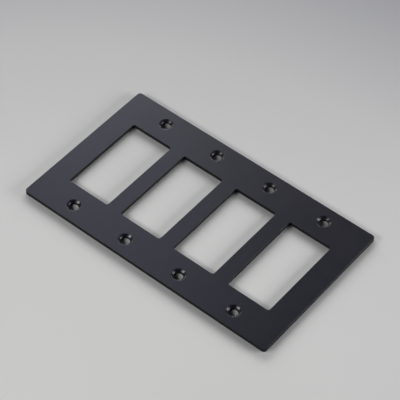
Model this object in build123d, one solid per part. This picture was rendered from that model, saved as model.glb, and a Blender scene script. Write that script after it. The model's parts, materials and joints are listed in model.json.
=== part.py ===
from build123d import *
import math
import os

# Cover plate for a row of rocker switches: one flat metal plate with a window for each
# switch and two countersunk screw holes for each window.
# Origin: centre of the back face, which lies against the wall.
# +X runs along the row of windows, +Y up the wall, +Z out of the wall.
# All lengths are in millimetres and all angles in degrees.

# The row of switches
gang_count = 4
gang_pitch = 46.04
screw_spacing = 96.84

# Plate
plate_thickness = 3.0
side_margin = 17.24
end_margin = 11.68
outline_corner_radius = 2.4

# Windows
window_width = 34.6
window_height = 67.6
window_corner_radius = 1.8

# Screw holes: a straight bore and a conical seat, with a round at the rim and at the throat
bore_radius = 3.2
seat_rim_radius = 4.95
seat_angle = 100.0
rim_round = 0.3
throat_round = 1.5

# Edges of the front face
front_edge_round = 0.15

# The outline follows the outermost windows and the two rows of screws
plate_length = (gang_count - 1) * gang_pitch + window_width + 2 * side_margin
plate_height = screw_spacing + 2 * end_margin

# The rim is the circle where the cone would meet the flat face without its round,
# and the seat's depth is where the cone would meet the bore
seat_half_angle = math.radians(seat_angle / 2)
seat_depth = (seat_rim_radius - bore_radius) / math.tan(seat_half_angle)

# The rim's round turns the flat face down into the cone
rim_turn = math.pi / 2 - seat_half_angle
rim_tangent = rim_round * math.tan(rim_turn / 2)
rim_start_radius = seat_rim_radius + rim_tangent
rim_end_radius = seat_rim_radius - rim_tangent * math.sin(seat_half_angle)
rim_end_depth = rim_tangent * math.cos(seat_half_angle)

# The throat's round turns the cone down into the bore
throat_turn = seat_half_angle
throat_tangent = throat_round * math.tan(throat_turn / 2)
throat_start_radius = bore_radius + throat_tangent * math.sin(seat_half_angle)
throat_start_depth = seat_depth - throat_tangent * math.cos(seat_half_angle)
throat_end_depth = seat_depth + throat_tangent


def plate_blank():
    """The flat plate with its rounded corners."""
    outline = RectangleRounded(plate_length, plate_height, outline_corner_radius)
    return extrude(outline, plate_thickness)


def window_cutter():
    """The opening for one switch, centred on the origin."""
    opening = RectangleRounded(window_width, window_height, window_corner_radius)
    return extrude(opening, plate_thickness)


def rim_middle():
    """The middle of the round between the flat face and the cone."""
    radius = rim_start_radius - rim_round * math.sin(rim_turn / 2)
    depth = rim_round * (1 - math.cos(rim_turn / 2))
    return (radius, plate_thickness - depth)


def throat_middle():
    """The middle of the round between the cone and the bore."""
    radius = bore_radius + throat_round * (1 - math.cos(throat_turn / 2))
    depth = throat_end_depth - throat_round * math.sin(throat_turn / 2)
    return (radius, plate_thickness - depth)


def screw_hole_cutter():
    """Bore, cone and both rounds of one screw hole, as a solid about the Z axis."""
    top = plate_thickness
    rim_start = (rim_start_radius, top)
    rim_end = (rim_end_radius, top - rim_end_depth)
    throat_start = (throat_start_radius, top - throat_start_depth)
    throat_end = (bore_radius, top - throat_end_depth)
    section_edges = [
        Line((0, 0), (bore_radius, 0)),
        Line((bore_radius, 0), throat_end),
        ThreePointArc(throat_end, throat_middle(), throat_start),
        Line(throat_start, rim_end),
        ThreePointArc(rim_end, rim_middle(), rim_start),
        Line(rim_start, (0, top)),
        Line((0, top), (0, 0)),
    ]
    section = Plane.XZ * make_face(section_edges)
    return revolve(section, Axis.Z)


def front_edges(plate, places):
    """The front face's outline and window edges, without the screw holes' rims."""
    face = plate.faces().sort_by(Axis.Z)[-1]
    loops = [face.outer_wire()]
    for wire in face.inner_wires():
        near_a_hole = [p for p in places if (wire.center() - p).length < window_width / 4]
        if not near_a_hole:
            loops.append(wire)
    return [edge for wire in loops for edge in wire.edges()]


def switch_plate():
    plate = plate_blank()
    window_places = GridLocations(gang_pitch, 0, gang_count, 1)
    screw_places = GridLocations(gang_pitch, screw_spacing, gang_count, 2)
    for place in window_places:
        plate -= place * window_cutter()
    for place in screw_places:
        plate -= place * screw_hole_cutter()
    hole_centres = [place.position + Vector(0, 0, plate_thickness) for place in screw_places]
    return fillet(front_edges(plate, hole_centres), front_edge_round)


os.makedirs("parts", exist_ok=True)
plate = switch_plate()
plate.label = "switch_plate"
export_step(plate, "parts/switch_plate.step")

print(f"outline {plate_length:.2f} x {plate_height:.2f} x {plate_thickness:.2f} mm")
print(f"windows {window_width:.2f} x {window_height:.2f} mm, every {gang_pitch:.2f} mm")
print(f"screw rows {screw_spacing:.2f} mm apart, bore {2 * bore_radius:.2f} mm")
print(f"seat rim {2 * seat_rim_radius:.2f} mm, seat {seat_depth:.2f} mm deep")
print(f"bore straight below {throat_end_depth:.2f} mm")
print(f"volume {plate.volume:.1f} mm3, valid {plate.is_valid}")
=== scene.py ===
# %% [markdown]
# # A black switch plate
# The plate covers a row of four rocker switches. It is one piece of flat metal, so everything
# here is about edges and finish: how the windows and screw holes are cut, how their rims are
# rounded, and how a matt coat takes the light.
# The construction is already settled at its real size. Loading it first gives a fixed frame,
# and what is modelled below is drawn from its numbers.

# %% Load the frame
import json
import math

import bmesh
import bpy
from mathutils import Matrix, Vector


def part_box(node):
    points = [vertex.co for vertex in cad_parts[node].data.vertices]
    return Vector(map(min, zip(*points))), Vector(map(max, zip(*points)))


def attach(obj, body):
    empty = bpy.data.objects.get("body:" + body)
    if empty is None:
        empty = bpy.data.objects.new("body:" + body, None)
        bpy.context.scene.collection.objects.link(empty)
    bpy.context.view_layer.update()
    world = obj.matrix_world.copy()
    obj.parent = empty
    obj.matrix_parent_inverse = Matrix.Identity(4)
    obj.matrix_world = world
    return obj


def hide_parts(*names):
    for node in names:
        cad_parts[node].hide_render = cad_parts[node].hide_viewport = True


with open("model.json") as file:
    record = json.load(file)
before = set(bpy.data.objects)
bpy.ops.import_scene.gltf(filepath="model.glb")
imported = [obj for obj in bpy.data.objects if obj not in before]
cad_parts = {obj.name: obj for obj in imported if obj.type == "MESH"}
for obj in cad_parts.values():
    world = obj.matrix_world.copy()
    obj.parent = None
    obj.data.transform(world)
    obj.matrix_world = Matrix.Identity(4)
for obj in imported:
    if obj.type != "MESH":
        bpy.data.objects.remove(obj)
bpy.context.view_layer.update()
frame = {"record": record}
plate_low, plate_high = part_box("switch_plate")
print("plate from", tuple(plate_low), "to", tuple(plate_high))

# %% [markdown]
# ## Sizes
# A real plate is drawn from the switches behind it: their distance apart, and the distance
# between the two screws of each one. Both are read from the frame's screw mounts, so the holes
# can't drift away from them. What is left are the plate's own sizes, the windows, the corners
# and the countersunk seats, each written once.
# They are in millimetres, as on a drawing. Blender works in metres, but several of its
# operators merge or skip what is closer than a few hundredths of a unit, and the steps of a
# rounded rim are that small in metres. So the plate is modelled with a millimetre as the unit,
# and scaled down once at the end.

# %% Read the screw grid and name the plate's own sizes
MM = 0.001
mounts = {mount["name"]: mount for mount in frame["record"]["mounts"]}
screw_mounts = [mount for name, mount in sorted(mounts.items()) if name.startswith("screws")]
gang_centres = [mount["pos_m"][0] / MM for mount in screw_mounts]
screw_spacing = screw_mounts[0]["dims"]["spacing_y_mm"]
bore_radius = screw_mounts[0]["dims"]["hole_r_mm"]

plate_length = (plate_high.x - plate_low.x) / MM
plate_height = (plate_high.y - plate_low.y) / MM
plate_thickness = (plate_high.z - plate_low.z) / MM

window_width = 34.6
window_height = 67.6
window_corner = 1.8
outline_corner = 2.4
edge_round = 0.08

seat_rim_radius = 4.95
seat_half_angle = math.radians(50)
rim_round = 0.3
throat_round = 1.5

print("gangs at", [round(x, 2) for x in gang_centres], "mm")
print("screws", round(screw_spacing, 2), "mm apart, bore", round(2 * bore_radius, 2), "mm")

# %% [markdown]
# ## Loops
# Every opening in a sheet is a closed line. A designer would draw these lines and cut the
# sheet along them, and the same can be done here: make loops of edges, join loop to loop down
# through the thickness, and fill what is left between them. Boolean cuts would also work, but
# they leave long faces beside the rims, and a glossy rim shows each of those as a smear.
# A rectangle starts as one square of a grid, stretched, with its corners bevelled as vertices.
# A bevel with a profile of 0.5 is a true arc, and its offset along the sides is its radius.

# %% Two kinds of loop
CORNER_STEPS = 10
RIM_STEPS = 96


def rectangle_loop(mesh, centre_x, width, height, corner, z):
    """The edges of a rectangle with round corners, lying flat at height z."""
    corners = bmesh.ops.create_grid(mesh, x_segments=1, y_segments=1, size=0.5)["verts"]
    bmesh.ops.scale(mesh, vec=(width, height, 1), verts=corners)
    bmesh.ops.translate(mesh, vec=(centre_x, 0, z), verts=corners)
    rounded = bmesh.ops.bevel(
        mesh, geom=corners, affect="VERTICES", offset=corner, offset_type="OFFSET",
        segments=CORNER_STEPS, profile=0.5, material=-1,
    )
    face = rounded["verts"][0].link_faces[0]
    edges = list(face.edges)
    bmesh.ops.delete(mesh, geom=[face], context="FACES_ONLY")
    return edges


def circle_loop(mesh, centre, radius, z):
    """The edges of a circle about a screw's axis, lying flat at height z."""
    place = Matrix.Translation((centre[0], centre[1], z))
    ring = bmesh.ops.create_circle(mesh, segments=RIM_STEPS, radius=radius, matrix=place)
    return list({edge for vert in ring["verts"] for edge in vert.link_edges})


print("steps in a corner", CORNER_STEPS, "and round a hole", RIM_STEPS)

# %% [markdown]
# ## Profiles
# Looked at closely, no edge on a coated plate is sharp. The outline, the windows and the rims
# of the screw holes have a fine round where the coat wraps over. The throat of a screw hole,
# where the cone of its seat turns down into the bore, has a wide one, and that is the part of
# a hole that catches the light. A profile lists how far a wall stands from its line, and how
# deep it is there. Each round is worked out from its radius, and a short flat step beside it
# keeps the shading of the flat faces flat, because a smooth edge shares its normal with both
# of its neighbours.

# %% Work out the two profiles
ROUND_STEPS = 4
THROAT_STEPS = 12
flat_step = 0.15


def edge_profile():
    """Distances out from a wall and depths below the face, down a rounded straight edge."""
    profile = [(edge_round + flat_step, 0.0), (edge_round, 0.0)]
    for step in range(1, ROUND_STEPS + 1):
        turn = math.radians(90) * step / ROUND_STEPS
        profile.append((edge_round * (1 - math.sin(turn)), edge_round * (1 - math.cos(turn))))
    profile.append((0.0, edge_round + flat_step))
    profile.append((0.0, plate_thickness))
    return profile


def hole_profile():
    """Radii and depths down a screw hole: rim, cone, throat and bore."""
    rim_turn = math.radians(90) - seat_half_angle
    throat_turn = seat_half_angle
    seat_depth = (seat_rim_radius - bore_radius) / math.tan(seat_half_angle)
    rim_start = seat_rim_radius + rim_round * math.tan(rim_turn / 2)
    throat_end = seat_depth + throat_round * math.tan(throat_turn / 2)
    down_the_cone = Vector((-math.sin(seat_half_angle), math.cos(seat_half_angle)))

    profile = [(rim_start + flat_step, 0.0), (rim_start, 0.0)]
    for step in range(1, ROUND_STEPS + 1):
        turn = rim_turn * step / ROUND_STEPS
        profile.append((rim_start - rim_round * math.sin(turn), rim_round * (1 - math.cos(turn))))
    profile.append(tuple(Vector(profile[-1]) + down_the_cone * flat_step))
    throat = []
    for step in range(THROAT_STEPS, -1, -1):
        turn = throat_turn * step / THROAT_STEPS
        radius = bore_radius + throat_round * (1 - math.cos(turn))
        throat.append((radius, throat_end - throat_round * math.sin(turn)))
    profile.append(tuple(Vector(throat[0]) - down_the_cone * flat_step))
    profile.extend(throat)
    profile.append((bore_radius, throat_end + flat_step))
    profile.append((bore_radius, plate_thickness))
    return profile


print("edge profile", [(round(out, 2), round(depth, 2)) for out, depth in edge_profile()])
print("hole profile", [(round(radius, 2), round(depth, 2)) for radius, depth in hole_profile()])

# %% [markdown]
# ## The plate
# One loop is made at each step of a profile, and each loop is bridged to the next, which
# skins the wall of the opening from the front face to the back. The loops at the two ends of
# every wall are kept. The front face is filled between all the front ones, as a sheet is cut
# between its outline and its openings, and the back face between all the back ones.

# %% Skin the walls


def skin(mesh, loops):
    """Joins each loop to the next, and returns the first and the last."""
    for upper, lower in zip(loops, loops[1:]):
        bmesh.ops.bridge_loops(mesh, edges=upper + lower)
    return loops[0], loops[-1]


def window_wall(mesh, centre_x):
    """One window, from the front face to the back."""
    loops = []
    for out, depth in edge_profile():
        loops.append(rectangle_loop(
            mesh, centre_x, window_width + 2 * out, window_height + 2 * out,
            window_corner + out, plate_thickness - depth,
        ))
    return skin(mesh, loops)


def outline_wall(mesh):
    """The plate's outer edge. Its metal lies inside the line, so the steps turn inwards."""
    loops = []
    for out, depth in edge_profile():
        loops.append(rectangle_loop(
            mesh, 0.0, plate_length - 2 * out, plate_height - 2 * out,
            outline_corner - out, plate_thickness - depth,
        ))
    return skin(mesh, loops)


def screw_hole_wall(mesh, centre):
    """One countersunk hole, from its rim to the back face."""
    loops = []
    for radius, depth in hole_profile():
        loops.append(circle_loop(mesh, centre, radius, plate_thickness - depth))
    return skin(mesh, loops)


print("loops down a straight wall", len(edge_profile()), "and down a hole", len(hole_profile()))

# %% Fill the two faces and close the plate


def build_plate():
    mesh = bmesh.new()
    walls = [outline_wall(mesh)]
    for centre_x in gang_centres:
        walls.append(window_wall(mesh, centre_x))
        for side in (-1, 1):
            walls.append(screw_hole_wall(mesh, (centre_x, side * screw_spacing / 2)))
    for face, normal in ((0, (0, 0, 1)), (1, (0, 0, -1))):
        edges = [edge for wall in walls for edge in wall[face]]
        bmesh.ops.triangle_fill(mesh, edges=edges, use_beauty=True, normal=normal)
    bmesh.ops.recalc_face_normals(mesh, faces=mesh.faces)
    return mesh


mesh = build_plate()
open_edges = [edge for edge in mesh.edges if not edge.is_manifold]
print("faces", len(mesh.faces), "open edges", len(open_edges))
print("volume", round(mesh.calc_volume()), "mm3")
bmesh.ops.scale(mesh, vec=(MM, MM, MM), verts=mesh.verts)

# %% [markdown]
# ## Smooth and sharp
# A render shades a surface by its normals. The rounded rims, throats and corners should look
# smooth, and the edges of the back face should stay crisp. Marking each edge by the angle
# across it does both: small angles are steps of one curve, and large ones are real edges.

# %% Mark the edges and make the object
sharp_angle = math.radians(35)
for face in mesh.faces:
    face.smooth = True
for edge in mesh.edges:
    edge.smooth = edge.calc_face_angle(0.0) < sharp_angle

plate_data = bpy.data.meshes.new("coated_plate")
mesh.to_mesh(plate_data)
mesh.free()
coated_plate = bpy.data.objects.new("coated_plate", plate_data)
bpy.context.scene.collection.objects.link(coated_plate)
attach(coated_plate, "root")
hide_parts("switch_plate")
print("size", [round(side / MM, 2) for side in coated_plate.dimensions], "mm")

# %% [markdown]
# ## Nodes
# A finish is a small net of nodes, and the same few come back in every one: a noise, a change
# from one span of values to another, and a ramp of colours. Each gets a helper that makes the
# node, links it and returns its output, so that a material reads as a short list.
# Object coordinates are used throughout, because the plate has no seams to hide and nothing to
# unwrap, and they stay with it when it is moved.

# %% Helpers for nodes


def link(material, source, target):
    material.node_tree.links.new(source, target)


def noise_field(material, place, scale, detail):
    """A noise laid over the piece's own coordinates."""
    noise = material.node_tree.nodes.new("ShaderNodeTexNoise")
    noise.inputs["Scale"].default_value = scale
    noise.inputs["Detail"].default_value = detail
    link(material, place.outputs["Object"], noise.inputs["Vector"])
    return noise.outputs["Fac"]


def remap(material, source, span, result):
    """Turns one span of values into another, held at both ends."""
    change = material.node_tree.nodes.new("ShaderNodeMapRange")
    change.inputs["From Min"].default_value = span[0]
    change.inputs["From Max"].default_value = span[1]
    change.inputs["To Min"].default_value = result[0]
    change.inputs["To Max"].default_value = result[1]
    link(material, source, change.inputs["Value"])
    return change.outputs["Result"]


def colour_ramp(material, source, stops):
    """Gives each value a colour between the stops."""
    ramp = material.node_tree.nodes.new("ShaderNodeValToRGB")
    elements = ramp.color_ramp.elements
    while len(elements) < len(stops):
        elements.new(0.5)
    for element, (position, colour) in zip(elements, stops):
        element.position = position
        element.color = colour
    link(material, source, ramp.inputs["Fac"])
    return ramp.outputs["Color"]


print("helpers for a noise, a change of span and a ramp of colours")

# %% [markdown]
# ## The coat
# The finish is a matt black coat, baked on. It is almost black, and what the eye sees is its
# broad sheen: the coat mirrors a lamp as a wide soft patch, because its surface is a very fine
# grain. Roughness makes that patch wide, and the grain is added as bump, a quarter of a
# millimetre across, which only shows in a close view. A second, larger noise varies the
# roughness and the colour a little, as a sprayed film does, so that the sheen isn't perfectly
# even. The roughness stays above 0.275. A film that ran from 0.27 to 0.29 came out speckled at
# a low angle, most likely because the denoiser counts anything smoother as a mirror, and from
# 0.276 upwards the specks are gone. The black leans a little to blue, which shows where the
# sheen is weak.

# %% The film and its grain
film_scale = 90.0
film_span = (0.3, 0.7)
film_colours = [
    (film_span[0], (0.0085, 0.0085, 0.0153, 1.0)),
    (film_span[1], (0.0097, 0.0097, 0.0166, 1.0)),
]
film_roughness = (0.276, 0.29)
grain_scale = 4000.0
grain_strength = 0.1
grain_height = 0.02 * MM


def sprayed_film(coat, place):
    """The colour and the roughness of the coat on the faces."""
    film = noise_field(coat, place, film_scale, detail=3.0)
    return colour_ramp(coat, film, film_colours), remap(coat, film, film_span, film_roughness)


def fine_grain(coat, place):
    """The grain of the surface, as a bumped normal."""
    grain = noise_field(coat, place, grain_scale, detail=2.0)
    bump = coat.node_tree.nodes.new("ShaderNodeBump")
    bump.inputs["Strength"].default_value = grain_strength
    bump.inputs["Distance"].default_value = grain_height
    link(coat, grain, bump.inputs["Height"])
    return bump.outputs["Normal"]


print("film varies over", round(1 / film_scale / MM), "mm, grain over", 1 / grain_scale / MM, "mm")

# %% [markdown]
# ## The cut walls
# The walls of the plate are cut edges. They are given a rough finish without the sheen. Their
# colour is painted shade: a black darker than the coat on the faces, for walls that stand in shade
# beside the floor. The surface normal tells them apart: its Z is one on the front, minus one on
# the back and zero on a wall, so its absolute value is high on both coated faces.

# %% The walls, and the whole coat
wall_span = (0.1, 0.5)
# painted shade for the walls: a darker black than the coat on the faces
painted_wall_shade = (0.001, 0.001, 0.002, 1.0)
dead_roughness = 0.85


def wall_mask(coat, place):
    """One on the cut walls, zero on the front and the back."""
    normal = coat.node_tree.nodes.new("ShaderNodeSeparateXYZ")
    link(coat, place.outputs["Normal"], normal.inputs["Vector"])
    level = coat.node_tree.nodes.new("ShaderNodeMath")
    level.operation = "ABSOLUTE"
    link(coat, normal.outputs["Z"], level.inputs[0])
    return remap(coat, level.outputs["Value"], wall_span, (1.0, 0.0))


def face_or_wall(coat, wall, on_face, on_wall, data_type):
    """What the faces have, and what the walls have instead."""
    mix = coat.node_tree.nodes.new("ShaderNodeMix")
    mix.data_type = data_type
    mix.inputs["B"].default_value = on_wall
    link(coat, wall, mix.inputs["Factor"])
    link(coat, on_face, mix.inputs["A"])
    return mix.outputs["Result"]


def black_coat():
    coat = bpy.data.materials.new("black_coat")
    coat.use_nodes = True
    shader = coat.node_tree.nodes["Principled BSDF"]
    place = coat.node_tree.nodes.new("ShaderNodeTexCoord")
    face_colour, face_roughness = sprayed_film(coat, place)
    wall = wall_mask(coat, place)
    # the walls' colour is painted shade, their roughness a real rough finish
    colour = face_or_wall(coat, wall, face_colour, painted_wall_shade, "RGBA")
    roughness = face_or_wall(coat, wall, face_roughness, dead_roughness, "FLOAT")
    link(coat, colour, shader.inputs["Base Color"])
    link(coat, roughness, shader.inputs["Roughness"])
    link(coat, fine_grain(coat, place), shader.inputs["Normal"])
    return coat


coated_plate.data.materials.append(black_coat())
print("coat on", coated_plate.name)

# %% [markdown]
# ## The floor
# The plate lies on its back on a pale, seamless surface. A floor much larger than the view
# does for that. It is matt, so it takes the plate's soft shadows, and it is part of the stage,
# not of the object.
# Backdrop paper looks lightest at one place, in front of the plate, and fades to a cooler grey all
# round it, as the light on it falls off. Here that fall-off is painted into the paper's colour
# instead of coming from the light, so the plate stays evenly lit. It is a painted shade that
# deepens with the distance, and its cooler grey further off is a painted reflection of a cool
# backdrop. A distance node measures how far each point lies from the lightest place, and a ramp
# gives each distance its colour.

# %% Lay the floor
floor_size = 6.0
lightest_place = (0.035, -0.197, 0.0)
fade_span = (0.03, 0.46)
# painted shade and a painted cool reflection: the floor's colour falls off as the light on it
# would
painted_falloff_colours = [
    (0.00, (0.76, 0.76, 0.75, 1.0)),
    (0.36, (0.69, 0.69, 0.685, 1.0)),
    (0.72, (0.545, 0.545, 0.55, 1.0)),
    (1.00, (0.35, 0.35, 0.37, 1.0)),
]


def floor_paint():
    """Matt paint that fades with the distance from one place: a painted fall-off of the light."""
    paint = bpy.data.materials.new("pale_floor")
    paint.use_nodes = True
    shader = paint.node_tree.nodes["Principled BSDF"]
    shader.inputs["Roughness"].default_value = 0.9
    shader.inputs["Specular IOR Level"].default_value = 0.0
    place = paint.node_tree.nodes.new("ShaderNodeTexCoord")
    away = paint.node_tree.nodes.new("ShaderNodeVectorMath")
    away.operation = "DISTANCE"
    away.inputs[1].default_value = lightest_place
    link(paint, place.outputs["Object"], away.inputs[0])
    fade = remap(paint, away.outputs["Value"], fade_span, (0.0, 1.0))
    link(paint, colour_ramp(paint, fade, painted_falloff_colours), shader.inputs["Base Color"])
    return paint


def pale_floor():
    mesh = bmesh.new()
    bmesh.ops.create_grid(mesh, x_segments=1, y_segments=1, size=floor_size / 2)
    data = bpy.data.meshes.new("floor")
    mesh.to_mesh(data)
    mesh.free()
    floor = bpy.data.objects.new("floor", data)
    bpy.context.scene.collection.objects.link(floor)
    data.materials.append(floor_paint())
    print("floor", floor_size, "m wide, lightest at", lightest_place)


pale_floor()

# %% [markdown]
# ## The light
# Three soft boxes stand low around the plate: a wide one behind it, one on its right and one
# on its left. Because the plate is only three millimetres thick, low lights are what makes its
# edges and windows cast any shadow at all, and where all three are hidden, deep in the far
# left corner of each window, the floor goes black.
# The face needs one thing more. A flat sheet mirrors one part of the room, and from this
# camera that is a place high up behind the plate, above the back box. A dim, narrow card
# stands there, so that the sheen runs from the left end to the right and fades. It only has
# to be mirrored, and it gives no diffuse light, which would fill the shadows in the holes. It
# is a cool card, a little blue, and so is the sheen. The world adds only a trace of light.
# Each lamp is placed by its direction and distance from the plate, in the plate's own axes,
# and given the share of the light on the floor that it has to supply. Its power follows from
# that: a patch of light weakens with the square of the distance, and a floor catches only the
# sine of the elevation.

# %% Place the soft boxes


def soft_box(name, azimuth, elevation, distance, width, height, share):
    """A lamp facing the plate. Azimuth turns from +X towards +Y."""
    around = math.radians(azimuth)
    up = math.radians(elevation)
    flat = math.cos(up)
    direction = Vector((math.cos(around) * flat, math.sin(around) * flat, math.sin(up)))
    data = bpy.data.lights.new(name, "AREA")
    data.shape = "RECTANGLE"
    data.size = width
    data.size_y = height
    data.energy = share * math.pi**2 * distance**2 / math.sin(up)
    lamp = bpy.data.objects.new(name, data)
    lamp.location = direction * distance
    lamp.rotation_euler = direction.to_track_quat("Z", "Y").to_euler()
    bpy.context.scene.collection.objects.link(lamp)
    print(name, "power", round(data.energy, 1), "W")
    return lamp


soft_box("back_box", 132.7, 19.3, distance=1.35, width=1.89, height=0.42, share=0.470)
soft_box("right_box", 30.1, 13.4, distance=0.75, width=0.50, height=0.19, share=0.220)
soft_box("left_box", 238.0, 28.5, distance=1.38, width=0.95, height=0.30, share=0.275)
sheen_card = soft_box(
    "sheen_card", 137.9, 35.5, distance=1.50, width=0.37, height=1.33, share=0.043,
)
sheen_card.visible_diffuse = False
sheen_card.data.color = (1.0, 1.0, 1.28)

world_glow = (0.010, 0.010, 0.012, 1.0)
world = bpy.data.worlds.new("studio")
world.use_nodes = True
world.node_tree.nodes["Background"].inputs["Color"].default_value = world_glow
bpy.context.scene.world = world

# %% [markdown]
# ## The camera
# The plate is seen from above and from its right-hand front, with a long lens from over a
# metre away, so its edges stay almost parallel. The camera is placed by where it aims, how far
# away it stands and the two angles that it looks along, and it is rolled by one degree.

# %% Place the camera
camera_azimuth = math.radians(38.59)
camera_elevation = math.radians(49.84)
camera_roll = math.radians(1.03)
camera_distance = 1156.9 * MM
camera_lens = 153.7
camera_aim = Vector((-6.56, 9.78, plate_thickness)) * MM

camera_data = bpy.data.cameras.new("camera")
camera_data.lens = camera_lens
camera = bpy.data.objects.new("camera", camera_data)
turn = (
    Matrix.Rotation(camera_azimuth, 4, "Z")
    @ Matrix.Rotation(math.radians(90) - camera_elevation, 4, "X")
    @ Matrix.Rotation(camera_roll, 4, "Z")
)
step_back = Matrix.Translation((0, 0, camera_distance))
camera.matrix_world = Matrix.Translation(camera_aim) @ turn @ step_back
bpy.context.scene.collection.objects.link(camera)
bpy.context.scene.camera = camera
bpy.context.scene.view_settings.view_transform = "Standard"
print("camera at", [round(x, 3) for x in camera.matrix_world.translation], "m")
